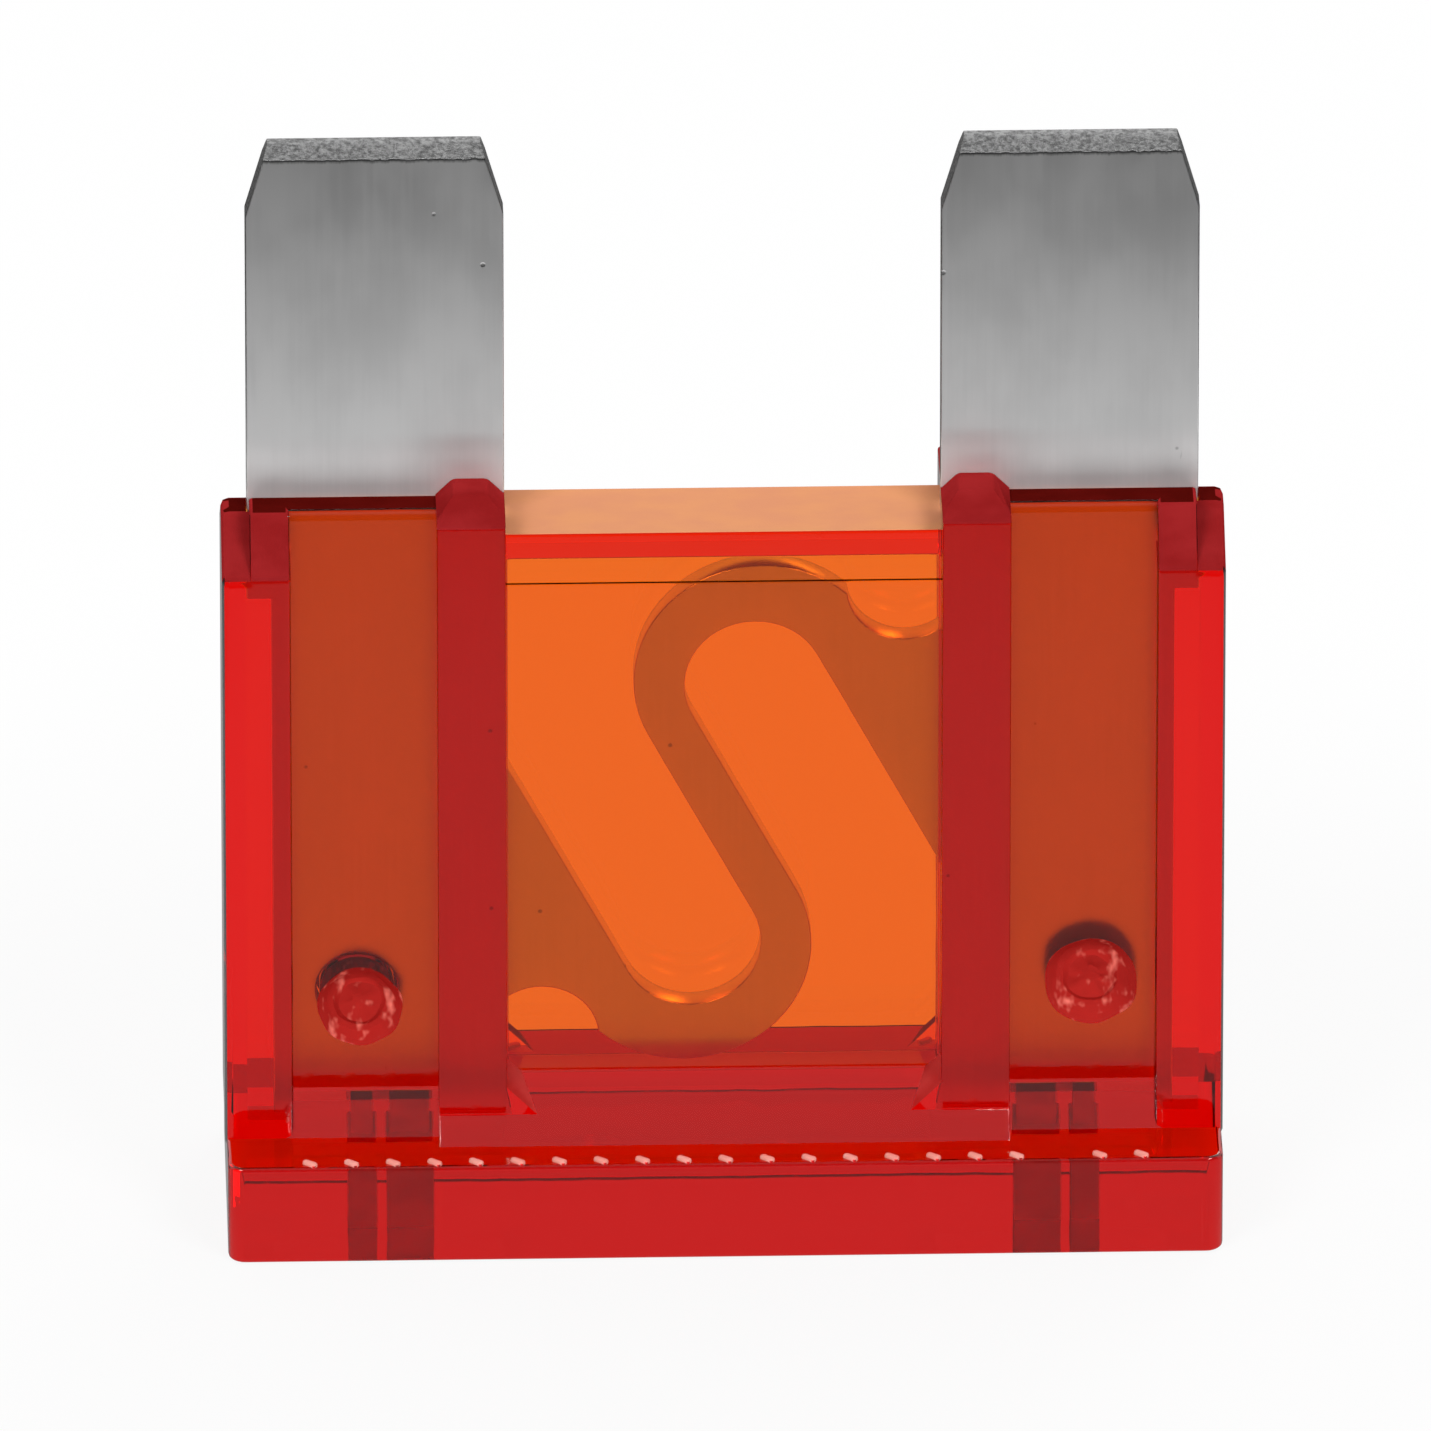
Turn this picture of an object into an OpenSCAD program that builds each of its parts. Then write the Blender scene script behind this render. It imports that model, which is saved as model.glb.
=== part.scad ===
// Large automotive blade fuse: a clear coloured body and head cap around one stamped
// metal strip, which is two blades joined by an S-shaped fusible link.
// X runs across the width, Y through the thickness and Z from the head to the blade tips.
// The fuse stands on its head, and the origin is the centre of the head's flat face.

/* [Overall] */
// Width of the body over its two outer ribs
body_w = 29.2; // [26:0.1:36]
// Height of the two columns that the blades come out of, above the head's flat face
column_h = 23; // [19:0.1:28]
// Length of each blade that stands out of its column
blade_out = 11.3; // [6:0.1:16]

/* [Metal strip] */
// Width of each blade
blade_w = 7.5; // [6.3:0.1:9]
// Thickness of the sheet
sheet_t = 0.8; // [0.5:0.05:1]
// Distance from the body's side to the outer edge of a blade
blade_margin = 0.75; // [0.4:0.05:1.2]
// Step from a blade's outer edge to the narrower strip inside the body
shoulder_step = 0.7; // [0.2:0.1:1.5]
// Depth of the shoulder below the top of the column
shoulder_depth = 2.9; // [1:0.1:4]
// Width of the corner cut at each side of a blade tip
tip_cut_w = 0.65; // [0.2:0.05:1.5]
// Length of the corner cut along the blade
tip_cut_l = 2.25; // [0.5:0.05:4]
// Depth of the lead-in bevel on each face of a blade tip
tip_bevel_t = 0.2; // [0.05:0.05:0.25]
// Length of the lead-in bevel along the blade
tip_bevel_l = 0.45; // [0.2:0.05:1.5]

/* [Fusible link] */
// Radius of the round end of the channel inside each bend
channel_r = 2.05; // [1.5:0.05:2.3]
// Half of the link's width in the middle of the S
neck_half = 0.73; // [0.4:0.01:1]
// Lean of the middle of the S away from the blades' direction
link_lean = 27.8; // [20:0.1:35]
// Radius of the outer edge of each bend
bend_r = 3.75; // [3.4:0.05:4]
// Distance of the bends from the middle of the S, along its lean
bend_reach = 3.26; // [2.6:0.02:3.6]
// Radius of the notch between a bend and the root of the link
notch_r = 1.68; // [1:0.02:2]
// Place of a notch's centre across the width, from the middle of the S
notch_x = 5.3; // [4.8:0.1:5.6]
// Place of a notch's centre along the height, from the middle of the S
notch_z = 7.3; // [6.8:0.1:7.6]

/* [Body] */
// Thickness of the centre of the body, front to back
centre_t = 3; // [2.6:0.1:4]
// Thickness of the columns at their sunk panels
column_t = 2.8; // [2.4:0.1:4]
// Thickness over the ribs, front to back
rib_t = 5; // [4.2:0.1:6.5]
// Width of the outer ribs
outer_rib_w = 2; // [1.2:0.1:2.5]
// Width of the inner ribs
inner_rib_w = 2; // [1.4:0.1:3]
// Height by which the centre's top edge stays below the columns
centre_drop = 0.75; // [0.2:0.05:2]
// Thickness of the bridge that closes the link's chamber between the blades
bridge_t = 1.1; // [0.6:0.1:2]
// Wall at the front and back of the link's chamber, above the raised window
chamber_wall = 0.65; // [0.4:0.05:0.9]
// Height by which the window stands proud on each face
window_proud = 0.15; // [0.05:0.05:0.5]
// Distance of the window's upper edge from the centre's top edge
window_top_gap = 1.6; // [0.6:0.1:3]
// Height by which each inner rib's tip stands above its column
tip_rise = 0.55; // [0.3:0.05:1.5]
// Height of the slope on each face of an inner rib's tip
tip_slope = 0.8; // [0.3:0.05:1.5]
// Size of the corner cut at each side of an inner rib's tip
tip_corner = 0.5; // [0.1:0.05:0.6]
// Height by which the ridge of each outer rib stays below its column
ridge_drop = 0.4; // [0.1:0.05:1]
// Height of the slope on each face of an outer rib's tip
ridge_slope = 1.4; // [0.5:0.05:2]
// Width of the flat ridge on an outer rib's tip, front to back
ridge_t = 0.9; // [0.6:0.05:2]
// Size of the sloped foot below the window
centre_foot = 1.7; // [0.5:0.1:1.9]
// Size of the sloped foot below each sunk panel
column_foot = 1.1; // [0.3:0.1:1.5]
// Size of the sloped foot below each rib
rib_foot = 0.7; // [0.2:0.05:1]
// Size of the corner gussets between the inner ribs and the foot
gusset = 1.2; // [0.5:0.05:2.5]
// Height of the slope on each face of a gusset
gusset_slope = 0.65; // [0.2:0.05:1.5]

/* [Stakes] */
// Diameter of the plastic stake in each column
stake_d = 2.2; // [1.5:0.1:3]
// Height of the stakes above the head's flat face
stake_h = 7.1; // [6:0.05:12]
// Distance of each stake outwards from the middle of its blade
stake_offset = 0.6; // [-0.5:0.1:0.7]
// Diameter of the punched crater at its rim
crater_d = 2.6; // [1.8:0.1:3.2]
// Depth of the punched crater
crater_depth = 0.45; // [0.2:0.05:0.7]

/* [Head cap] */
// Thickness of the head, front to back
head_t = 8.9; // [8:0.1:11]
// Height of the head
head_h = 3.1; // [2.4:0.1:4]
// Distance of the head's side inside the body's side
head_inset = 0.2; // [0:0.05:0.5]
// Radius of the head's upright corners
head_corner_r = 0.5; // [0.2:0.1:1.5]
// Height of the tongue that closes the bottom of the link's chamber
tongue_h = 1.1; // [0.5:0.1:1.3]
// Width of each test-probe slot
probe_w = 2.6; // [1.5:0.1:3.2]
// Size of each test-probe slot from front to back
probe_t = 1.4; // [0.8:0.1:2]
// Distance of each test-probe slot inwards from the middle of its blade
probe_offset = 0.4; // [-0.5:0.1:1]
// Spacing of the grip teeth along the head's two upper edges
tooth_pitch = 1.215; // [0.9:0.005:2]
// Length of each grip tooth
tooth_l = 0.46; // [0.3:0.01:0.6]
// Width of each grip tooth
tooth_w = 0.2; // [0.1:0.01:0.3]
// Height of each grip tooth
tooth_h = 0.12; // [0.05:0.01:0.3]
// Turn of each grip tooth away from the edge
tooth_turn = 38; // [0:1:60]
// Plain length at each end of a row of teeth
tooth_end = 2.2; // [1:0.1:5]

/* [Hidden] */
$fn = 96;
// Clearance between the metal strip and the plastic around it
slot_gap = 0.05;
// Clearance between the chamber and the tongue that closes it
tongue_gap = 0.1;
// Clearance between the strip's lower edge and the head cap
seat_gap = 0.2;
// Clearance between the S and the top and bottom of its chamber
link_gap = 0.3;
// Clearance between a stake and the hole in the metal
stake_gap = 0.1;
// Length by which a cut runs past a face
past = 1;

blade_outer = body_w / 2 - blade_margin;
blade_inner = blade_outer - blade_w;
blade_mid = (blade_outer + blade_inner) / 2;
blade_top = column_h + blade_out;
strip_outer = blade_outer - shoulder_step;
strip_bottom = head_h + seat_gap;
shoulder_z = column_h - shoulder_depth;

rib_in = blade_inner;
rib_out = rib_in + inner_rib_w;
outer_rib_in = body_w / 2 - outer_rib_w;
centre_h = column_h - centre_drop;
window_bottom = head_h + centre_foot;
window_top = centre_h - window_top_gap;
ridge_z = column_h - ridge_drop;
tip_z = column_h + tip_rise;

slot_t = sheet_t + 2 * slot_gap;
chamber_half = blade_inner - slot_gap;
chamber_t = centre_t - 2 * chamber_wall;
chamber_top = centre_h - bridge_t;
tongue_top = head_h + tongue_h;
stake_x = blade_mid + stake_offset;

head_w = body_w - 2 * head_inset;
probe_x = blade_mid - probe_offset;
tooth_steps = floor((head_w - 2 * tooth_end) / tooth_pitch);
tooth_y = head_t / 2 - tooth_l / 2;

// The S keeps its own size, and shrinks only where its chamber is too small for it
bend_c = [(bend_r - neck_half) * cos(link_lean) - bend_reach * sin(link_lean),
          (bend_r - neck_half) * sin(link_lean) + bend_reach * cos(link_lean)];
link_h = 2 * (bend_c[1] + bend_r + link_gap);
link_w = 2 * (notch_x + notch_r / 2);
link_scale = min(1, (chamber_top - tongue_top) / link_h, 2 * blade_inner / link_w);
link_z = (chamber_top + tongue_top) / 2;

// Extrudes an outline drawn in X and Z to the given thickness, centred on Y = 0
module along_y(thickness) rotate([90, 0, 0]) linear_extrude(height = thickness, center = true) children();

// Extrudes an outline drawn in Y and Z from x = from to x = to
module along_x(from, to) translate([from, 0, 0]) rotate([90, 0, 90]) linear_extrude(height = to - from) children();

module both_sides() {
    children();
    mirror([1, 0, 0]) children();
}

// ---- Housing body ----

// Outline of a tapering foot: half thickness of the wall above it, and the foot's size
module foot_outline(half_wall, size) {
    polygon([[-half_wall - size, head_h], [half_wall + size, head_h],
             [half_wall, head_h + size], [-half_wall, head_h + size]]);
}

module centre() {
    along_y(centre_t) translate([-rib_out, head_h]) square([2 * rib_out, centre_h - head_h]);
    along_y(centre_t + 2 * window_proud)
        translate([-rib_out, window_bottom]) square([2 * rib_out, window_top - window_bottom]);
    along_x(-rib_in, rib_in) foot_outline(centre_t / 2, centre_foot);
    both_sides() corner_gusset();
}

// The foot's slope, turned up at 45 degrees in the corner between the foot and an inner rib
module corner_gusset() {
    foot_half = centre_t / 2 + centre_foot;
    intersection() {
        translate([rib_in - gusset, 0, head_h]) rotate([0, -45, 0]) along_x(-gusset, 3 * gusset)
            polygon([[-foot_half, -2 * gusset], [foot_half, -2 * gusset], [foot_half, 0],
                     [centre_t / 2, gusset_slope], [-centre_t / 2, gusset_slope], [-foot_half, 0]]);
        along_y(rib_t) translate([rib_in - 2 * gusset, head_h]) square([2 * gusset, 3 * gusset]);
    }
}

module sunk_panel() {
    along_y(column_t) translate([rib_in, head_h]) square([outer_rib_in - rib_in, column_h - head_h]);
    along_x(rib_out, outer_rib_in) foot_outline(column_t / 2, column_foot);
}

module outer_rib() {
    along_x(outer_rib_in, body_w / 2)
        polygon([[-rib_t / 2, head_h], [rib_t / 2, head_h], [rib_t / 2, ridge_z - ridge_slope],
                 [ridge_t / 2, ridge_z], [-ridge_t / 2, ridge_z], [-rib_t / 2, ridge_z - ridge_slope]]);
    along_x(outer_rib_in, body_w / 2) foot_outline(rib_t / 2, rib_foot);
}

module inner_rib() {
    intersection() {
        along_x(rib_in, rib_out)
            polygon([[-rib_t / 2, head_h], [rib_t / 2, head_h], [rib_t / 2, tip_z - tip_slope],
                     [centre_t / 2, tip_z], [-centre_t / 2, tip_z], [-rib_t / 2, tip_z - tip_slope]]);
        along_y(rib_t + past)
            polygon([[rib_in, head_h], [rib_out, head_h], [rib_out, tip_z - tip_corner],
                     [rib_out - tip_corner, tip_z], [rib_in + tip_corner, tip_z], [rib_in, tip_z - tip_corner]]);
    }
    along_x(rib_in, rib_out) foot_outline(rib_t / 2, rib_foot);
}

// Chamber of the link, and the slots that the strip slides into from the head's end
module strip_space() {
    along_y(chamber_t)
        translate([-chamber_half, head_h - past]) square([2 * chamber_half, chamber_top - head_h + past]);
    both_sides() along_y(slot_t)
        translate([chamber_half, head_h - past])
            square([blade_outer + slot_gap - chamber_half, tip_z - head_h + 2 * past]);
}

// Plastic pressed through the hole in the metal, with a punched crater at each face
module stake() {
    translate([stake_x, 0, stake_h]) rotate([90, 0, 0]) cylinder(d = stake_d, h = column_t, center = true);
}

module craters() {
    translate([stake_x, 0, stake_h])
        for (turn = [-90, 90]) rotate([turn, 0, 0])
            translate([0, 0, column_t / 2 - crater_depth])
                cylinder(d1 = crater_d / 2, d2 = crater_d, h = crater_depth + 0.001);
}

module housing_body() {
    color([0.85, 0.11, 0.1, 0.6])
    difference() {
        union() {
            difference() {
                union() {
                    centre();
                    both_sides() {
                        sunk_panel();
                        outer_rib();
                        inner_rib();
                    }
                }
                strip_space();
            }
            both_sides() stake();
        }
        both_sides() craters();
    }
}

// ---- Head cap ----

module head_block() {
    corner_x = head_w / 2 - head_corner_r;
    corner_y = head_t / 2 - head_corner_r;
    linear_extrude(height = head_h) {
        square([head_w, 2 * corner_y], center = true);
        square([2 * corner_x, head_t], center = true);
        for (x = [-corner_x, corner_x], y = [-corner_y, corner_y]) translate([x, y]) circle(r = head_corner_r);
    }
}

module tongue() {
    along_y(chamber_t - 2 * tongue_gap)
        translate([tongue_gap - chamber_half, head_h - past])
            square([2 * (chamber_half - tongue_gap), tongue_h + past]);
}

module grip_teeth() {
    for (side = [-1, 1], i = [0 : tooth_steps])
        translate([(i - tooth_steps / 2) * tooth_pitch, side * tooth_y, head_h])
            rotate([0, 0, side * tooth_turn])
                cube([tooth_l, tooth_w, 2 * tooth_h], center = true);
}

module head_cap() {
    color([0.8, 0.1, 0.1, 0.7])
    difference() {
        union() {
            head_block();
            tongue();
            grip_teeth();
        }
        both_sides() translate([probe_x, 0, head_h / 2]) cube([probe_w, probe_t, head_h + 2 * past], center = true);
    }
}

// ---- Fuse element ----

module strip_outline() {
    polygon([[blade_inner, strip_bottom], [strip_outer, strip_bottom], [strip_outer, shoulder_z],
             [blade_outer, shoulder_z], [blade_outer, blade_top - tip_cut_l],
             [blade_outer - tip_cut_w, blade_top], [blade_inner + tip_cut_w, blade_top],
             [blade_inner, blade_top - tip_cut_l]]);
}

// Right half of the S: the upper bend and the root that joins it to the strip
module half_link() {
    reach_x = blade_inner / link_scale + past;
    channel_mid = neck_half + channel_r;
    translate(bend_c) circle(r = bend_r);
    polygon([bend_c, [notch_x, notch_z], [reach_x, notch_z],
             [reach_x, (channel_mid - reach_x * cos(link_lean)) / sin(link_lean)]]);
}

// Free space on the right of the S: the channel beside its middle, and the notch
module half_gaps() {
    rotate(link_lean) {
        translate([neck_half + channel_r, bend_reach]) circle(r = channel_r);
        translate([neck_half, bend_reach - 2 * link_h]) square([2 * channel_r, 2 * link_h]);
    }
    translate([notch_x, notch_z]) circle(r = notch_r);
}

module turned_pair() {
    children();
    rotate(180) children();
}

module link_outline() {
    difference() {
        union() {
            turned_pair() half_link();
            rotate(link_lean) square(2 * [neck_half, bend_reach], center = true);
        }
        turned_pair() half_gaps();
    }
}

module blade_profile() {
    polygon([[-sheet_t / 2, 0], [sheet_t / 2, 0], [sheet_t / 2, blade_top - tip_bevel_l],
             [sheet_t / 2 - tip_bevel_t, blade_top], [tip_bevel_t - sheet_t / 2, blade_top],
             [-sheet_t / 2, blade_top - tip_bevel_l]]);
}

module fuse_element() {
    color([0.62, 0.62, 0.62])
    difference() {
        union() {
            intersection() {
                both_sides() along_y(sheet_t) strip_outline();
                along_x(-body_w / 2, body_w / 2) blade_profile();
            }
            translate([0, 0, link_z]) along_y(sheet_t) scale(link_scale) link_outline();
        }
        both_sides() translate([stake_x, 0, stake_h])
            rotate([90, 0, 0]) cylinder(d = stake_d + 2 * stake_gap, h = sheet_t + past, center = true);
    }
}

housing_body();
head_cap();
fuse_element();
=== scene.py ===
"""Looks of the automotive blade fuse: a welded clear red housing round one stamped metal strip.

Lengths are in millimetres and become metres where a mesh is made. X runs across the width,
Y through the thickness and Z from the head's flat face up to the blade tips.
"""
import math
import random

import bmesh
import bpy
from mathutils import Matrix, Vector, noise


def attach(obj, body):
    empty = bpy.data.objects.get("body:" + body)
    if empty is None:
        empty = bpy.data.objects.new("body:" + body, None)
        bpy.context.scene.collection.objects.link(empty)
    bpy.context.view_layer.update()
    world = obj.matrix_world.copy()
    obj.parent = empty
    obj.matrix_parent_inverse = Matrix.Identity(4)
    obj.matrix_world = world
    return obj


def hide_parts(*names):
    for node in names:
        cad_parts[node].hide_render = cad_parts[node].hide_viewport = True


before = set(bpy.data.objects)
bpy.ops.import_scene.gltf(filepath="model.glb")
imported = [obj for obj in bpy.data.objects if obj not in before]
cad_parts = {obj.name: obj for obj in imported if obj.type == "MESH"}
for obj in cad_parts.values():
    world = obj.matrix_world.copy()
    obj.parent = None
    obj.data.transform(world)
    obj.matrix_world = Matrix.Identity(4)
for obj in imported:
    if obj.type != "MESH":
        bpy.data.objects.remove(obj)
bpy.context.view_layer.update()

MM = 0.001

# ---- Sizes of the housing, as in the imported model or, for small shapes, as in the photograph ----
# X and Y values are half widths, because the housing is the same on both sides of the middle.
BODY = 14.6  # over the outer ribs
COLUMN_TOP = 23.0
CENTRE_TOP = 22.25
RIB_IN, RIB_OUT = 6.35, 8.35
OUTER_RIB_IN = 12.6
RIB_Y, COLUMN_Y, CENTRE_Y = 2.5, 1.4, 1.5
WINDOW_Y, WINDOW_BOTTOM, WINDOW_TOP = 1.58, 4.8, 20.65
TIP_TOP, TIP_SLOPE, TIP_CORNER = 23.55, 0.65, 0.5
RIDGE_TOP, RIDGE_SLOPE, RIDGE_Y = 22.6, 1.3, 0.45
CENTRE_FOOT, COLUMN_FOOT, RIB_FOOT = 1.7, 1.1, 0.7
GUSSET, GUSSET_SLOPE = 1.2, 0.65
HEAD_X, HEAD_Y, HEAD_TOP, HEAD_CORNER = 14.55, 4.45, 3.1, 0.5
CHAMBER_X, CHAMBER_Y, CHAMBER_BOTTOM, CHAMBER_TOP = 6.3, 0.85, 4.2, 21.25
SLOT_X, SLOT_Y = 13.9, 0.45
STAKE_X, STAKE_Z, STAKE_R = 10.7, 7.1, 1.1
CRATERS = (  # side, front (-1) or back (1), radius, x, z
    (-1, -1, 1.26, -10.62, 6.85),
    (1, -1, 1.38, 10.75, 7.4),
    (-1, 1, 1.3, -10.7, 7.1),
    (1, 1, 1.3, 10.7, 7.1),
)
CRATER_RINGS = (  # share of the radius, depth
    (1.0, -0.25), (1.0, 0.0), (0.86, 0.2), (0.74, 0.34), (0.6, 0.36), (0.5, 0.26), (0.34, 0.3), (0.18, 0.42),
)
PROBES = (8.5, 9.87), (10.16, 11.0)  # near and far side of each slot for a test probe
PROBE_Y, PROBE_STEP = 0.7, 1.9
TOOTH_PITCH, TOOTH_TURN, TOOTH_COUNT = 1.215, 38, 21
TOOTH_L, TOOTH_W, TOOTH_H = 0.46, 0.2, 0.12
MISSING_TOOTH = TOOTH_COUNT - 3  # in the front row
LIP, LIP_STEPS = 0.32, 8  # rounding along the top of each sunk panel
COIN_Z = 33.85  # lower edge of the coined bevel at the blade tips
OVERLAP = 0.4  # how far joined shapes reach into each other

PLASTIC_IOR = 1.585

# ---- Mesh helpers ----


def new_object(name, mesh):
    piece = bpy.data.objects.new(name, mesh)
    bpy.context.scene.collection.objects.link(piece)
    return piece


def bevel(bm, edges, width, segments=2):
    bmesh.ops.bevel(bm, geom=edges, offset=width * MM, segments=segments,
                    profile=0.5, affect="EDGES", clamp_overlap=True)


def solid(name, points, faces, rounding=0.0):
    """A closed solid from points in millimetres, with its edges rounded."""
    bm = bmesh.new()
    corners = [bm.verts.new(Vector(p) * MM) for p in points]
    for face in faces:
        bm.faces.new([corners[i] for i in face])
    bmesh.ops.recalc_face_normals(bm, faces=bm.faces)
    if rounding:
        bevel(bm, list(bm.edges), rounding)
    mesh = bpy.data.meshes.new(name)
    bm.to_mesh(mesh)
    bm.free()
    return new_object(name, mesh)


def skin(count):
    """The faces of a solid between two outlines of count points, with the first outline's points first."""
    sides = [(i, (i + 1) % count, count + (i + 1) % count, count + i) for i in range(count)]
    return sides + [tuple(range(count)), tuple(range(2 * count - 1, count - 1, -1))]


def prism(name, outline, axis, low, high, rounding=0.0):
    """An outline extruded along X (outline in Y, Z) or along Y (outline in X, Z)."""
    if axis == "X":
        ends = [[(depth, a, b) for a, b in outline] for depth in (low, high)]
    else:
        ends = [[(a, depth, b) for a, b in outline] for depth in (low, high)]
    return solid(name, ends[0] + ends[1], skin(len(outline)), rounding)


def block(name, low, high, rounding=0.0):
    outline = [(low[1], low[2]), (high[1], low[2]), (high[1], high[2]), (low[1], high[2])]
    return prism(name, outline, "X", low[0], high[0], rounding)


def cylinder_y(name, x, z, radius, half_length, sides=64):
    ring = [(x + radius * math.cos(2 * math.pi * i / sides), z + radius * math.sin(2 * math.pi * i / sides))
            for i in range(sides)]
    return prism(name, ring, "Y", -half_length, half_length)


def combine(base, others, operation):
    """Joins or cuts solids and drops the ones used up."""
    for other in others:
        change = base.modifiers.new("combine", "BOOLEAN")
        change.operation = operation
        change.object = other
        change.solver = "MANIFOLD"
    bpy.context.view_layer.update()
    graph = bpy.context.evaluated_depsgraph_get()
    mesh = bpy.data.meshes.new_from_object(base.evaluated_get(graph))
    base.modifiers.clear()
    base.data = mesh
    for other in others:
        bpy.data.objects.remove(other)
    return base


def span(side, near, far):
    """The low and high end, in X, of what lies between near and far on one side."""
    return sorted((side * near, side * far))


# ---- Housing ----


def foot(name, half_wall, size, low_x, high_x):
    """The 45 degree slope between a wall and the head, on both faces."""
    outline = [(-half_wall - size, HEAD_TOP - OVERLAP), (half_wall + size, HEAD_TOP - OVERLAP),
               (half_wall + size, HEAD_TOP), (half_wall, HEAD_TOP + size),
               (-half_wall, HEAD_TOP + size), (-half_wall - size, HEAD_TOP)]
    return prism(name, outline, "X", low_x, high_x)


def centre_shapes():
    reach = RIB_IN + OVERLAP
    yield block("centre", (-reach, -CENTRE_Y, HEAD_TOP - OVERLAP), (reach, CENTRE_Y, CENTRE_TOP), rounding=0.12)
    yield block("window", (-reach, -WINDOW_Y, WINDOW_BOTTOM), (reach, WINDOW_Y, WINDOW_TOP), rounding=0.05)
    yield foot("centre_foot", CENTRE_Y, CENTRE_FOOT, -reach, reach)


def column_shapes(side):
    x0, x1 = span(side, RIB_OUT - OVERLAP, OUTER_RIB_IN + OVERLAP)
    lip = [(COLUMN_Y - LIP + LIP * math.sin(turn), COLUMN_TOP - LIP + LIP * math.cos(turn))
           for turn in (math.radians(90 * step / LIP_STEPS) for step in range(LIP_STEPS + 1))]
    outline = [(-COLUMN_Y, HEAD_TOP - OVERLAP)] + [(-y, z) for y, z in reversed(lip)] + lip
    yield prism("panel", outline + [(COLUMN_Y, HEAD_TOP - OVERLAP)], "X", x0, x1)
    yield foot("panel_foot", COLUMN_Y, COLUMN_FOOT, x0, x1)

    x0, x1 = span(side, OUTER_RIB_IN, BODY)
    outline = [(-RIB_Y, HEAD_TOP - OVERLAP), (RIB_Y, HEAD_TOP - OVERLAP), (RIB_Y, RIDGE_TOP - RIDGE_SLOPE),
               (RIDGE_Y, RIDGE_TOP), (-RIDGE_Y, RIDGE_TOP), (-RIB_Y, RIDGE_TOP - RIDGE_SLOPE)]
    yield prism("outer_rib", outline, "X", x0, x1, rounding=0.24)
    x0, x1 = span(side, OUTER_RIB_IN + 0.02, SLOT_X - 0.12)
    outline = [(-RIB_Y, HEAD_TOP + 1), (RIB_Y, HEAD_TOP + 1), (RIB_Y, RIDGE_TOP - RIDGE_SLOPE),
               (COLUMN_Y, COLUMN_TOP), (-COLUMN_Y, COLUMN_TOP), (-RIB_Y, RIDGE_TOP - RIDGE_SLOPE)]
    yield prism("shoulder", outline, "X", x0, x1, rounding=0.1)

    x0, x1 = span(side, RIB_IN, RIB_OUT)
    outline = [(-RIB_Y - RIB_FOOT, HEAD_TOP - OVERLAP), (RIB_Y + RIB_FOOT, HEAD_TOP - OVERLAP),
               (RIB_Y + RIB_FOOT, HEAD_TOP), (RIB_Y, HEAD_TOP + RIB_FOOT), (RIB_Y, TIP_TOP - TIP_SLOPE),
               (CENTRE_Y, TIP_TOP), (-CENTRE_Y, TIP_TOP), (-RIB_Y, TIP_TOP - TIP_SLOPE),
               (-RIB_Y, HEAD_TOP + RIB_FOOT), (-RIB_Y - RIB_FOOT, HEAD_TOP)]
    rib = prism("inner_rib", outline, "X", x0, x1, rounding=0.05)
    outline = [(RIB_IN - 1, HEAD_TOP - 1), (RIB_OUT + 1, HEAD_TOP - 1), (RIB_OUT + 1, TIP_TOP - TIP_CORNER - 1),
               (RIB_OUT - TIP_CORNER, TIP_TOP), (RIB_IN + TIP_CORNER, TIP_TOP),
               (RIB_IN - 1, TIP_TOP - TIP_CORNER - 1)]
    outline = [(side * x, z) for x, z in outline]
    yield combine(rib, [prism("tip_trim", outline, "Y", -RIB_Y - 1, RIB_Y + 1, rounding=0.1)], "INTERSECT")
    yield gusset_shape(side)


def gusset_shape(side):
    """The 45 degree corner between the foot below the window and an inner rib."""
    foot_y = CENTRE_Y + CENTRE_FOOT
    lean = math.sqrt(0.5)

    def place(along, y, out):
        """A point of the foot's section, turned up at 45 degrees from the corner's start."""
        x = RIB_IN - GUSSET + along * lean - out * lean
        return (side * x, y, HEAD_TOP + along * lean + out * lean)

    section = [(-foot_y, -2 * GUSSET), (foot_y, -2 * GUSSET), (foot_y, 0), (CENTRE_Y, GUSSET_SLOPE),
               (-CENTRE_Y, GUSSET_SLOPE), (-foot_y, 0)]
    points = [place(along, y, out) for along in (-GUSSET, 3 * GUSSET) for y, out in section]
    wedge = solid("gusset", points, skin(len(section)))
    x0, x1 = span(side, RIB_IN - 2 * GUSSET, RIB_IN + OVERLAP)
    keep = block("keep", (x0, -RIB_Y, HEAD_TOP - OVERLAP / 2), (x1, RIB_Y, HEAD_TOP + 3 * GUSSET))
    return combine(wedge, [keep], "INTERSECT")


def head_shape():
    """The head: a plate with round upright corners and softened rims."""
    outline = []
    corner_steps = 6
    for cx, cy, start in ((1, 1, 0), (-1, 1, 90), (-1, -1, 180), (1, -1, 270)):
        for step in range(corner_steps + 1):
            turn = math.radians(start + 90 * step / corner_steps)
            outline.append((cx * (HEAD_X - HEAD_CORNER) + HEAD_CORNER * math.cos(turn),
                            cy * (HEAD_Y - HEAD_CORNER) + HEAD_CORNER * math.sin(turn)))
    head = solid("head", [(x, y, z) for z in (0, HEAD_TOP) for x, y in outline], skin(len(outline)))
    bm = bmesh.new()
    bm.from_mesh(head.data)
    rims = [e for e in bm.edges if abs(e.verts[0].co.z - e.verts[1].co.z) < MM / 100]
    bevel(bm, rims, 0.12, segments=3)
    bm.to_mesh(head.data)
    bm.free()
    return head


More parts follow.
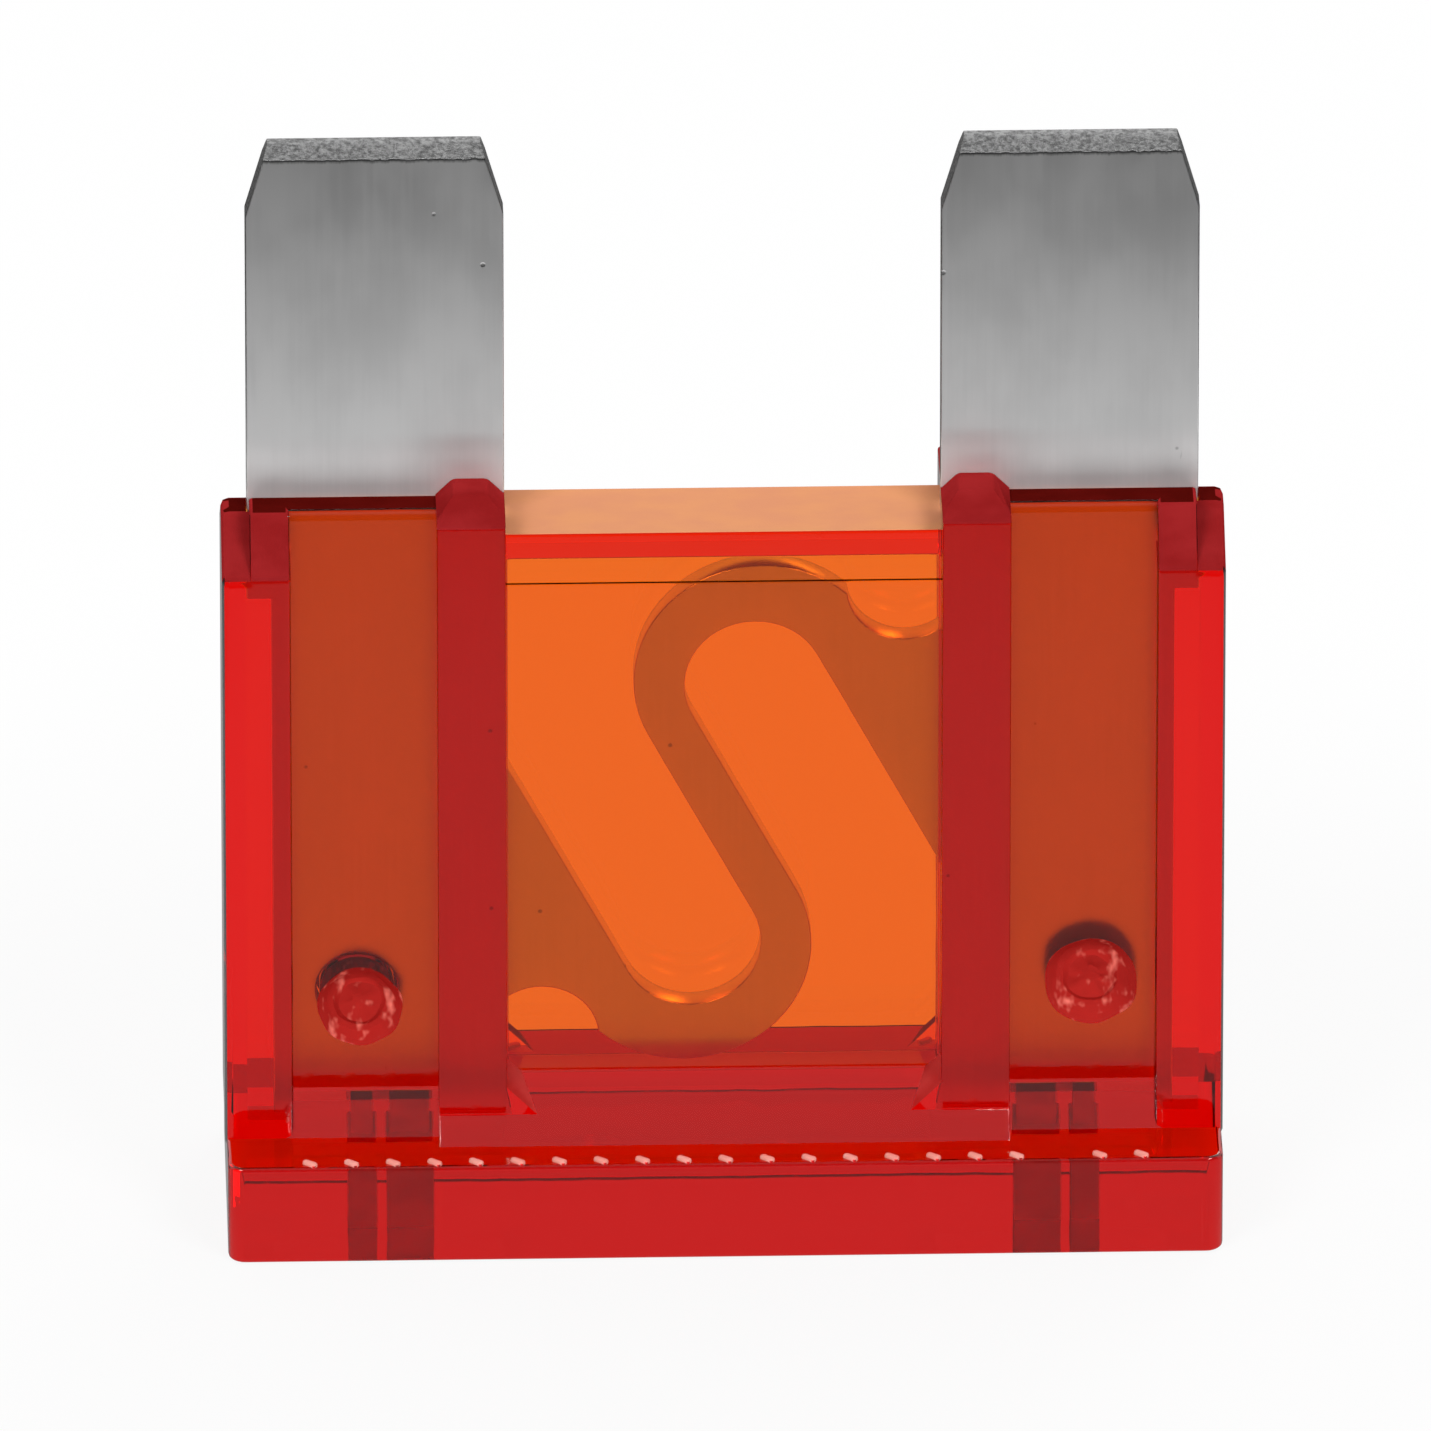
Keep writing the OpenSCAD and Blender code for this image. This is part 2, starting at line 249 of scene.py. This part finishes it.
def tooth_shapes():
    """A row of slanting grip teeth along the front of the head's top face and one along the back."""
    for row in (-1, 1):
        for i in range(TOOTH_COUNT):
            if row == -1 and i == MISSING_TOOTH:
                continue
            x = (i - (TOOTH_COUNT - 1) / 2) * TOOTH_PITCH
            turn = math.radians(row * TOOTH_TURN)
            corner = TOOTH_L / 2, TOOTH_W / 2, TOOTH_H
            tooth = block("tooth", (-corner[0], -corner[1], -0.1), corner, rounding=0.07)
            spot = Vector((x, row * (HEAD_Y - TOOTH_L / 2), HEAD_TOP)) * MM
            tooth.data.transform(Matrix.Translation(spot) @ Matrix.Rotation(turn, 4, "Z"))
            yield tooth


def cavities():
    """The room for the strip: the link's chamber, a slot for each blade, and the passages between them."""
    high = CHAMBER_X, CHAMBER_Y, CHAMBER_TOP
    yield block("chamber", (-CHAMBER_X, -CHAMBER_Y, CHAMBER_BOTTOM), high, rounding=0.03)
    for side in (-1, 1):
        x0, x1 = span(side, RIB_IN + 0.02, SLOT_X)
        yield block("slot", (x0, -SLOT_Y, HEAD_TOP), (x1, SLOT_Y, TIP_TOP + 1))
        x0, x1 = span(side, CHAMBER_X - OVERLAP, RIB_IN + OVERLAP)
        yield block("passage", (x0, -SLOT_Y, CHAMBER_BOTTOM + 0.2), (x1, SLOT_Y, CHAMBER_TOP - 0.2))


def crater(side, front, radius, x, z):
    """The dimple that a punch leaves over a stake: a rough cone with a ring inside."""
    sides = 40
    points = []
    phase = random.Random(7 * side + front).random() * 10
    for share, depth in CRATER_RINGS:
        for i in range(sides):
            turn = 2 * math.pi * i / sides
            uneven = noise.noise(Vector((math.cos(turn) * 1.6 + phase, math.sin(turn) * 1.6, share * 2.2)))
            reach = radius * (share + 0.07 * uneven)
            deep = depth + (0.06 * uneven if depth > 0 else 0)
            points.append((x + reach * math.cos(turn), front * (COLUMN_Y - deep), z + reach * math.sin(turn)))
    last = (len(CRATER_RINGS) - 1) * sides
    faces = [(ring + i, ring + (i + 1) % sides, ring + sides + (i + 1) % sides, ring + sides + i)
             for ring in range(0, last, sides) for i in range(sides)]
    faces += [tuple(range(sides)), tuple(range(last, last + sides))]
    return solid("crater", points, faces)


def clear_housing():
    shapes = list(centre_shapes())
    for side in (-1, 1):
        shapes += list(column_shapes(side))
    body = shapes[0]
    combine(body, shapes[1:] + [head_shape()], "UNION")
    combine(body, list(tooth_shapes()), "UNION")
    combine(body, list(cavities()), "DIFFERENCE")
    stakes = [cylinder_y("stake", side * STAKE_X, STAKE_Z, STAKE_R, COLUMN_Y - 0.1) for side in (-1, 1)]
    combine(body, stakes, "UNION")
    cuts = [cut for side in (-1, 1) for cut in probe_slots(side)]
    cuts += [crater(*values) for values in CRATERS]
    combine(body, cuts, "DIFFERENCE")
    body.name = "clear_housing"
    return body


def probe_slots(side):
    """Two slots for a test probe with a web between them, narrower where they meet the strip's slot."""
    for near, far in PROBES:
        x0, x1 = span(side, near, far)
        yield block("slot_mouth", (x0, -PROBE_Y, -1), (x1, PROBE_Y, PROBE_STEP))
        x0, x1 = span(side, near + 0.1, far - 0.1)
        yield block("slot_end", (x0, -SLOT_Y, PROBE_STEP - 0.1), (x1, SLOT_Y, HEAD_TOP + 0.1))


# ---- Matt zones: tests of a face's centre, in millimetres, and normal ----


def in_probe_slot(centre, normal):
    return (PROBES[0][0] - 0.01 < abs(centre.x) < PROBES[-1][1] + 0.01 and abs(centre.y) < PROBE_Y + 0.01
            and 0.05 < centre.z < HEAD_TOP)


def in_crater(centre, normal):
    away = math.hypot(abs(centre.x) - STAKE_X, centre.z - STAKE_Z)
    return away < 1.75 and CHAMBER_Y < abs(centre.y) < COLUMN_Y - 0.01


def on_gusset(centre, normal):
    return (HEAD_TOP < centre.z < HEAD_TOP + 3 * GUSSET and RIB_IN - 2.5 * GUSSET < abs(centre.x) < RIB_IN
            and abs(centre.y) < CENTRE_Y + CENTRE_FOOT and abs(normal.x) > 0.2 and normal.z > 0.2)


def on_bridge(centre, normal):
    return abs(centre.x) < RIB_IN and centre.z > CENTRE_TOP - 0.1 and normal.z > 0.5


def on_end(centre, normal):
    """The flat ends of the panels and ridges."""
    panel = RIB_OUT < abs(centre.x) < SLOT_X and centre.z > COLUMN_TOP - LIP / 3
    ridge = abs(centre.x) > OUTER_RIB_IN and centre.z > RIDGE_TOP - 0.1
    return (panel or ridge) and normal.z > 0.93


def on_tip(centre, normal):
    inner = RIB_IN < abs(centre.x) < RIB_OUT and centre.z > TIP_TOP - TIP_SLOPE - 0.1
    outer = abs(centre.x) > OUTER_RIB_IN and centre.z > RIDGE_TOP - RIDGE_SLOPE
    return (inner or outer) and 0.3 < normal.z and not on_end(centre, normal)


def on_tooth(centre, normal):
    return abs(centre.y) > HEAD_Y - TOOTH_L - 0.1 and HEAD_TOP + 0.01 < centre.z < HEAD_TOP + 2 * TOOTH_H


MATT_ZONES = {"bridge": on_bridge, "end": on_end, "tooth": on_tooth, "slot": in_probe_slot,
              "crater": in_crater, "gusset": on_gusset, "tip": on_tip}


def mark_matt_zones(piece):
    """Gives each zone a face attribute that is 1 there, and all zones the piece's second material."""
    for zone, test in MATT_ZONES.items():
        layer = piece.data.attributes.new(zone, "FLOAT", "FACE")
        for face in piece.data.polygons:
            layer.data[face.index].value = float(test(face.center / MM, face.normal))
    for face in piece.data.polygons:
        face.material_index = int(any(test(face.center / MM, face.normal) for test in MATT_ZONES.values()))


def shade(piece):
    """Smooth shading with flat faces kept flat."""
    for face in piece.data.polygons:
        face.use_smooth = True
    piece.data.set_sharp_from_angle(angle=math.radians(35))
    weighted = piece.modifiers.new("flat_faces", "WEIGHTED_NORMAL")
    weighted.keep_sharp = True
    weighted.weight = 100


# ---- Metal strip ----


def metal_strip():
    """A copy of the stamped strip with its edges softened."""
    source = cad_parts["fuse_element"].data
    bm = bmesh.new()
    bm.from_mesh(source)
    bmesh.ops.remove_doubles(bm, verts=bm.verts, dist=MM / 10000)
    bmesh.ops.dissolve_limit(bm, angle_limit=math.radians(0.1), verts=bm.verts, edges=bm.edges)
    rims = [e for e in bm.edges
            if e.calc_face_angle(0) > math.radians(20) and min(abs(v.co.y) for v in e.verts) > 0.19 * MM]
    bevel(bm, rims, 0.05)
    mesh = bpy.data.meshes.new("metal_strip")
    bm.to_mesh(mesh)
    bm.free()
    return new_object("metal_strip", mesh)


# ---- Materials ----


def material(name):
    mat = bpy.data.materials.new(name)
    mat.use_nodes = True
    return mat, mat.node_tree, mat.node_tree.nodes["Principled BSDF"]


def node(tree, kind, values=None, **settings):
    """Adds a node; a value that is a socket is linked, and any other is set."""
    made = tree.nodes.new(kind)
    for key, value in settings.items():
        setattr(made, key, value)
    for key, value in (values or {}).items():
        if isinstance(value, bpy.types.NodeSocket):
            tree.links.new(value, made.inputs[key])
        else:
            made.inputs[key].default_value = value
    return made


def math_node(tree, operation, *operands, clamp=False):
    made = node(tree, "ShaderNodeMath", dict(enumerate(operands)), operation=operation, use_clamp=clamp)
    return made.outputs[0]


def ramp(tree, value, low, high, start=0.0, end=1.0):
    """start below low, end above high, and a smooth step between them."""
    values = {"Value": value, "From Min": low, "From Max": high, "To Min": start, "To Max": end}
    return node(tree, "ShaderNodeMapRange", values, interpolation_type="SMOOTHSTEP").outputs["Result"]


def place_mm(tree):
    """The point on the object in millimetres."""
    place = node(tree, "ShaderNodeTexCoord").outputs["Object"]
    return node(tree, "ShaderNodeVectorMath", {0: place, 1: (1000, 1000, 1000)}, operation="MULTIPLY").outputs[0]


def noise_at(tree, point, stretch, detail=2.0, roughness=0.5):
    """Noise with about stretch waves per millimetre along each axis."""
    scaled = node(tree, "ShaderNodeVectorMath", {0: point, 1: stretch}, operation="MULTIPLY").outputs[0]
    values = {"Vector": scaled, "Scale": 1.0, "Detail": detail, "Roughness": roughness}
    return node(tree, "ShaderNodeTexNoise", values).outputs["Fac"]


def bump(tree, height, distance):
    return node(tree, "ShaderNodeBump", {"Height": height, "Distance": distance, "Strength": 1.0}).outputs[0]


def product(tree, first, second):
    return math_node(tree, "MULTIPLY", first, second)


def larger(tree, first, second):
    return math_node(tree, "MAXIMUM", first, second)


def colour_mix(tree, factor, first, second):
    values = {"Factor": factor, "A": first, "B": second}
    made = tree.nodes.new("ShaderNodeMix")
    made.data_type = "RGBA"
    for socket in made.inputs:
        if socket.enabled and socket.name in values:
            value = values[socket.name]
            if isinstance(value, bpy.types.NodeSocket):
                tree.links.new(value, socket)
            else:
                socket.default_value = value
    return next(socket for socket in made.outputs if socket.enabled)


def clear_red_plastic():
    """Polycarbonate, clear red in its depth, with the faint waviness of a moulded skin."""
    mat, tree, shader = material("clear_red_plastic")
    shader.inputs["Base Color"].default_value = (1, 1, 1, 1)
    shader.inputs["Transmission Weight"].default_value = 1.0
    shader.inputs["IOR"].default_value = PLASTIC_IOR
    shader.inputs["Roughness"].default_value = 0.0
    waves = noise_at(tree, place_mm(tree), (0.7, 0.7, 0.5), 1.0)
    tree.links.new(bump(tree, waves, 0.012 * MM), shader.inputs["Normal"])
    tint = {"Color": (0.9875, 0.67, 0.01, 1), "Density": 4000}
    volume = node(tree, "ShaderNodeVolumeAbsorption", tint)
    tree.links.new(volume.outputs["Volume"], tree.nodes["Material Output"].inputs["Volume"])
    return mat


def matt_red_plastic():
    """The same plastic where it isn't clear: the bridge's top, the ends, the grip teeth, slots and craters. The
    ends and tips carry painted shade, the teeth and the crater spots painted highlights, and the bridge's peach
    is partly painted light shining through.
    """
    mat, tree, shader = material("matt_red_plastic")
    point = place_mm(tree)
    cloud = ramp(tree, noise_at(tree, point, (0.5, 0.9, 0.9), 3.0), 0.3, 0.7)
    grain = noise_at(tree, point, (18, 18, 18), 2.0)
    # Painted highlights: spots of light pink inside the craters
    painted_glints = ramp(tree, noise_at(tree, point, (2.3, 2.3, 1.5), 2.0, 0.5), 0.54, 0.74)
    # The bridge's top: matt peach, partly the frosted plastic's own colour and partly painted light shining
    # through the thin bridge
    colour = colour_mix(tree, cloud, (0.75, 0.32, 0.15, 1), (0.71, 0.295, 0.155, 1))
    finishes = {
        # Painted shade: near-black red on the flat ends of the panels and ridges beside the blades
        "end": ((0.1, 0.004, 0.003, 1), (0.075, 0.003, 0.002, 1)),
        # Painted highlight: light pink on the grip teeth
        "tooth": ((1.0, 0.42, 0.36, 1), (1.0, 0.34, 0.28, 1)),
        "slot": ((0.75, 0.03, 0.025, 1), (0.9, 0.04, 0.03, 1)),
        # Painted shade: dark crimson on the rib tips and ridge slopes
        "tip": ((0.27, 0.011, 0.012, 1), (0.34, 0.018, 0.02, 1)),
        # Crater: clouded crimson plastic, with light pink spots that are painted highlights
        "crater": ((0.47, 0.022, 0.018, 1), (0.95, 0.22, 0.17, 1)),
        "gusset": ((0.5, 0.022, 0.02, 1), (0.62, 0.05, 0.045, 1)),
    }
    for name, (first, second) in finishes.items():
        chosen = node(tree, "ShaderNodeAttribute", attribute_name=name).outputs["Fac"]
        finish = colour_mix(tree, painted_glints if name == "crater" else cloud, first, second)
        colour = colour_mix(tree, chosen, colour, finish)
    tree.links.new(colour, shader.inputs["Base Color"])
    tree.links.new(ramp(tree, grain, 0.3, 0.7, 0.3, 0.42), shader.inputs["Roughness"])
    tree.links.new(bump(tree, grain, 0.004 * MM), shader.inputs["Normal"])
    shader.inputs["IOR"].default_value = PLASTIC_IOR
    shader.inputs["Specular IOR Level"].default_value = 0.0
    return mat


def plated_metal():
    """Satin tin plating drawn along the blades, with sheared edges and coined tips, and painted shade darkening
    the blades towards their tips.
    """
    mat, tree, shader = material("plated_metal")
    point = place_mm(tree)
    streaks = noise_at(tree, point, (7, 7, 0.22), 4.0, 0.65)
    cloud = noise_at(tree, point, (0.5, 0.5, 0.3), 3.0)
    grain = noise_at(tree, point, (22, 22, 22), 3.0, 0.7)
    tone = math_node(tree, "ADD", product(tree, streaks, 0.25), product(tree, cloud, 0.75))
    face = colour_mix(tree, ramp(tree, tone, 0.35, 0.65), (0.88, 0.88, 0.88, 1), (0.95, 0.95, 0.95, 1))
    height = node(tree, "ShaderNodeSeparateXYZ", {0: point}).outputs["Z"]
    # Painted shade: the blades' colour darkens towards the tips, up to 0.4 of the way to mid grey.
    face = colour_mix(tree, ramp(tree, height, 26, 35, 0.0, 0.4), face, (0.55, 0.55, 0.55, 1))

    # Specks and scratches
    cells = node(tree, "ShaderNodeTexVoronoi", {"Vector": point, "Scale": 0.75, "Randomness": 1.0})
    draw = node(tree, "ShaderNodeSeparateColor", {0: cells.outputs["Color"]}).outputs[0]
    chosen = math_node(tree, "GREATER_THAN", draw, 0.62)
    specks = product(tree, ramp(tree, cells.outputs["Distance"], 0.03, 0.07, 1.0, 0.0), chosen)
    scratches = ramp(tree, noise_at(tree, point, (5, 5, 0.6), 2.0, 0.8), 0.73, 0.78)
    marks = larger(tree, specks, product(tree, scratches, 0.6))
    face = colour_mix(tree, product(tree, marks, 0.55), face, (0.12, 0.12, 0.12, 1))

    # The coined tip, rough and grey above a ragged dark line that is a painted shadow
    ragged = product(tree, noise_at(tree, point, (3, 3, 0), 4.0, 0.7), 0.22)
    above = math_node(tree, "SUBTRACT", math_node(tree, "ADD", height, ragged), COIN_Z + 0.11)
    coined = ramp(tree, above, -0.01, 0.03)
    # Painted shadow: a dark band just under the coined tip's ragged edge
    painted_shadow_line = product(tree, ramp(tree, above, -0.14, -0.01), ramp(tree, above, -0.01, 0.03, 1.0, 0.0))
    speckle = noise_at(tree, point, (6, 6, 9), 5.0, 0.75)
    coin = colour_mix(tree, ramp(tree, speckle, 0.35, 0.65), (0.17, 0.17, 0.17, 1), (0.46, 0.46, 0.46, 1))
    face = colour_mix(tree, product(tree, painted_shadow_line, 0.85), face, (0.12, 0.12, 0.12, 1))
    face = colour_mix(tree, coined, face, coin)

    # The sheared flanks of the blades, coloured dark grey
    normal = node(tree, "ShaderNodeSeparateXYZ", {0: node(tree, "ShaderNodeNewGeometry").outputs["True Normal"]})
    flank = product(tree, ramp(tree, math_node(tree, "ABSOLUTE", normal.outputs["X"]), 0.5, 0.8),
                      ramp(tree, height, COLUMN_TOP, COLUMN_TOP + 0.5))
    flank_dark_grey = colour_mix(tree, ramp(tree, grain, 0.4, 0.6), (0.1, 0.1, 0.1, 1), (0.3, 0.3, 0.3, 1))
    tree.links.new(colour_mix(tree, flank, face, flank_dark_grey), shader.inputs["Base Color"])

    satin = ramp(tree, tone, 0.35, 0.65, 0.31, 0.35)
    rough = larger(tree, satin, product(tree, coined, 0.62))
    base = product(tree, ramp(tree, height, COLUMN_TOP - 0.2, COLUMN_TOP),
                     ramp(tree, height, COLUMN_TOP + 1.0, COLUMN_TOP + 3.0, 0.7, 0.0))
    rough = larger(tree, rough, base)
    tree.links.new(larger(tree, rough, product(tree, flank, 0.6)), shader.inputs["Roughness"])

    grit = product(tree, product(tree, math_node(tree, "SUBTRACT", speckle, 0.5), coined), 4.0)
    relief = math_node(tree, "ADD", product(tree, streaks, 0.06), grit)
    relief = math_node(tree, "SUBTRACT", relief, product(tree, marks, 0.5))
    tree.links.new(bump(tree, relief, 0.012 * MM), shader.inputs["Normal"])
    shader.inputs["Metallic"].default_value = 1.0
    return mat


# ---- Studio ----


def floor():
    """White to the camera, white through the plastic apart from a painted shadow under the object and painted
    shade in front of it, and in reflections fading with distance.
    """
    mat, tree, shader = material("pale_floor")
    mat.cycles.emission_sampling = "NONE"
    shader.inputs["Base Color"].default_value = (0.8, 0.8, 0.8, 1)
    shader.inputs["Roughness"].default_value = 0.9
    shader.inputs["Specular IOR Level"].default_value = 0.0
    path = node(tree, "ShaderNodeLightPath").outputs
    place = node(tree, "ShaderNodeTexCoord").outputs["Object"]
    spot = node(tree, "ShaderNodeSeparateXYZ", {0: place}).outputs
    away = node(tree, "ShaderNodeVectorMath", {0: place}, operation="LENGTH").outputs["Value"]

    # Through the plastic: dimmer under the object and in front of it, a painted shadow under it and painted
    # shade in front
    beside = ramp(tree, math_node(tree, "ABSOLUTE", spot["X"]), 0.013, 0.016)
    before = ramp(tree, math_node(tree, "ABSOLUTE", spot["Y"]), 0.0035, 0.006)
    unshaded = ramp(tree, larger(tree, beside, before), 0, 1, 0.5, 1.0)
    through = product(tree, path["Is Transmission Ray"], unshaded)
    # Painted shade on the floor in front of the object
    front = ramp(tree, spot["Y"], -0.012, -0.004, 0.3, 0.0)
    direct = math_node(tree, "SUBTRACT", 1.0, product(tree, path["Is Transmission Ray"], front))
    # Seen directly: white, with some of the lit floor left near the object for its shadow
    plain = product(tree, path["Is Camera Ray"], ramp(tree, away, 0.022, 0.045, 0.88, 0.985))
    seen = larger(tree, plain, product(tree, through, 0.985))
    # In reflections; a transmission ray counts as glossy too, so it is taken off
    mirrored = math_node(tree, "SUBTRACT", path["Is Glossy Ray"], path["Is Transmission Ray"], clamp=True)
    sharp = ramp(tree, away, 0.035, 0.08, 0.34, 0.05)
    blurred = ramp(tree, away, 0.042, 0.064, 1.0, 0.0)
    reflected = node(tree, "ShaderNodeMix", {"Factor": path["Is Singular Ray"], "A": blurred, "B": sharp})
    strength = node(tree, "ShaderNodeMix", {"Factor": mirrored, "A": direct, "B": reflected.outputs["Result"]})
    glow = node(tree, "ShaderNodeEmission", {"Strength": strength.outputs["Result"]})
    glow.inputs["Color"].default_value = (1, 1, 1, 1)
    share = larger(tree, seen, mirrored)
    mix = node(tree, "ShaderNodeMixShader", {0: share, 1: shader.outputs[0], 2: glow.outputs[0]})
    tree.links.new(mix.outputs[0], tree.nodes["Material Output"].inputs["Surface"])

    bm = bmesh.new()
    bmesh.ops.create_circle(bm, cap_ends=True, segments=96, radius=0.8)
    mesh = bpy.data.meshes.new("floor")
    bm.to_mesh(mesh)
    bm.free()
    mesh.materials.append(mat)
    ground = new_object("floor", mesh)
    ground.location.z = -0.02 * MM


def area_light(name, place, size, power, aim=(0, 0, 0.015)):
    lamp = bpy.data.lights.new(name, "AREA")
    lamp.shape = "SQUARE"
    lamp.size = size
    lamp.energy = power
    obj = bpy.data.objects.new(name, lamp)
    obj.location = place
    obj.rotation_euler = (Vector(aim) - Vector(place)).to_track_quat("-Z", "Y").to_euler()
    bpy.context.scene.collection.objects.link(obj)


def studio():
    """A white backdrop behind, a dim room in front, two lamps before the object and one behind it."""
    world = bpy.data.worlds.new("studio")
    bpy.context.scene.world = world
    world.use_nodes = True
    tree = world.node_tree
    way = node(tree, "ShaderNodeSeparateXYZ", {0: node(tree, "ShaderNodeTexCoord").outputs["Generated"]}).outputs
    backdrop = ramp(tree, way["Z"], 0.5, 0.9, 0.95, 0.75)
    room = ramp(tree, way["Z"], 0.5, 0.85, 0.08, 0.45)
    values = {"Factor": ramp(tree, way["Y"], -0.3, 0.2), "A": room, "B": backdrop}
    light = node(tree, "ShaderNodeMix", values).outputs["Result"]
    light = product(tree, light, ramp(tree, way["Z"], 0.93, 0.98, 1.0, 0.2))
    back = tree.nodes["Background"]
    back.inputs["Color"].default_value = (1, 1, 1, 1)
    tree.links.new(light, back.inputs["Strength"])
    area_light("key_left", (-0.22, -0.3, 0.32), 0.18, 0.95)
    area_light("key_right", (0.22, -0.3, 0.32), 0.18, 0.95)
    area_light("back", (0.15, 0.35, 0.3), 0.15, 0.3)
    floor()


def camera():
    azimuth, elevation, distance = math.radians(-1.5), math.radians(26.6), 1.2
    aim = Vector((-0.19, 0, 15.52)) * MM
    level = math.cos(elevation)
    away = Vector((math.sin(azimuth) * level, -math.cos(azimuth) * level, math.sin(elevation)))
    cam = bpy.data.cameras.new("camera")
    cam.lens = 1034.6
    obj = bpy.data.objects.new("camera", cam)
    obj.location = aim + away * distance
    obj.rotation_euler = (-away).to_track_quat("-Z", "Y").to_euler()
    bpy.context.scene.collection.objects.link(obj)
    bpy.context.scene.camera = obj


bpy.context.scene.view_settings.view_transform = "Standard"
camera()
studio()

housing = clear_housing()
housing.data.materials.clear()
housing.data.materials.append(clear_red_plastic())
housing.data.materials.append(matt_red_plastic())
mark_matt_zones(housing)
shade(housing)
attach(housing, "root")
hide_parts("housing_body", "head_cap")

strip = metal_strip()
strip.data.materials.clear()
strip.data.materials.append(plated_metal())
shade(strip)
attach(strip, "root")
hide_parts("fuse_element")

bpy.context.view_layer.update()
